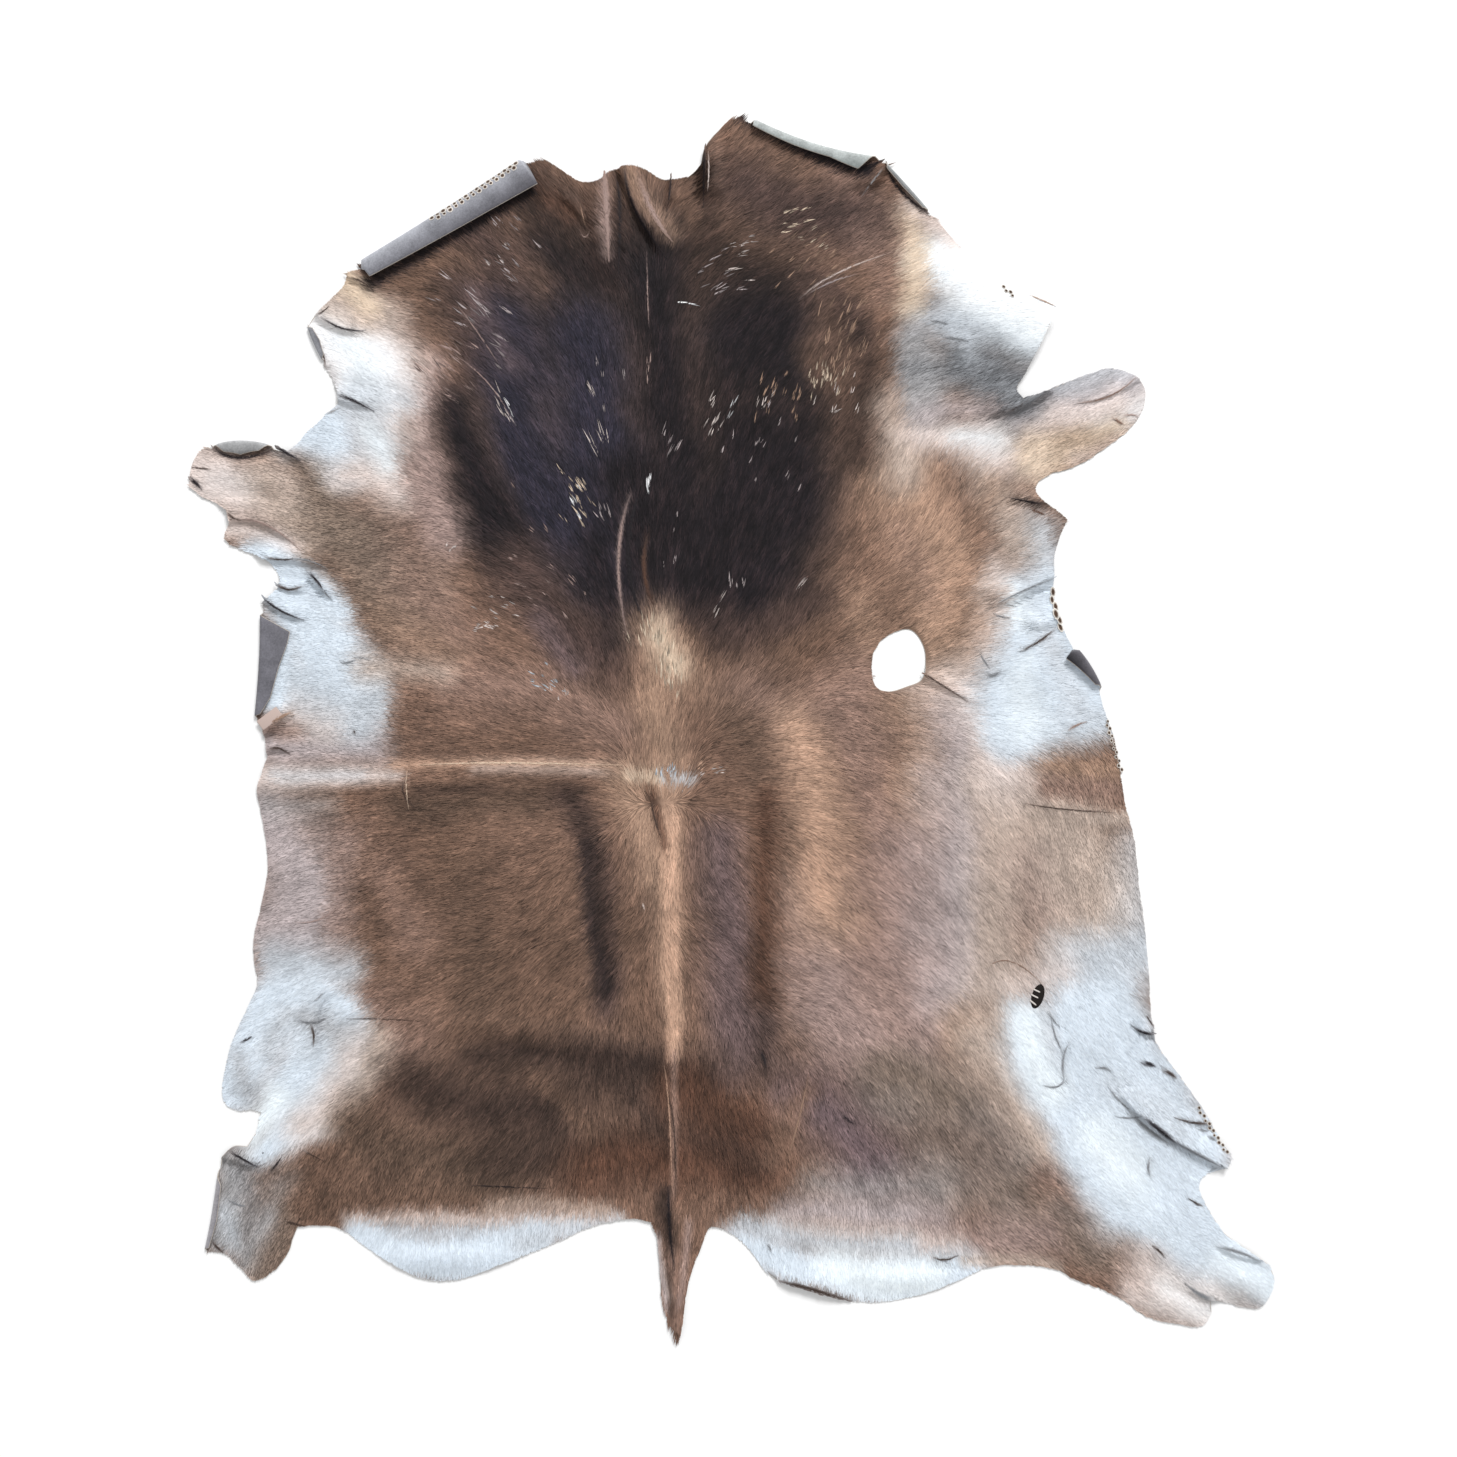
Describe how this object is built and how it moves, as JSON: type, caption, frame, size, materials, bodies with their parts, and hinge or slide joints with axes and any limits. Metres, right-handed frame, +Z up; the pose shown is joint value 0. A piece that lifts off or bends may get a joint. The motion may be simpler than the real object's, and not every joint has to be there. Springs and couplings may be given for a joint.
{
  "type": "cowhide rug",
  "caption": "Hair-on cowhide rug lying flat, with neck, legs and tail, rolled edges, creases and a natural brown, black and white coat.",
  "frame": {"origin": "middle of the hide's outline on the floor", "axes": "+Y along the spine from tail to neck, +Z up, away from the floor, +X to the right of someone who faces the neck"},
  "size_m": [1.862, 2.0961, 0.033],
  "materials": {
    "hide": "short natural hair on one side, matt suede flesh side"
  },
  "bodies": {
    "root": {"hide": "hide"}
  },
  "joints": []
}
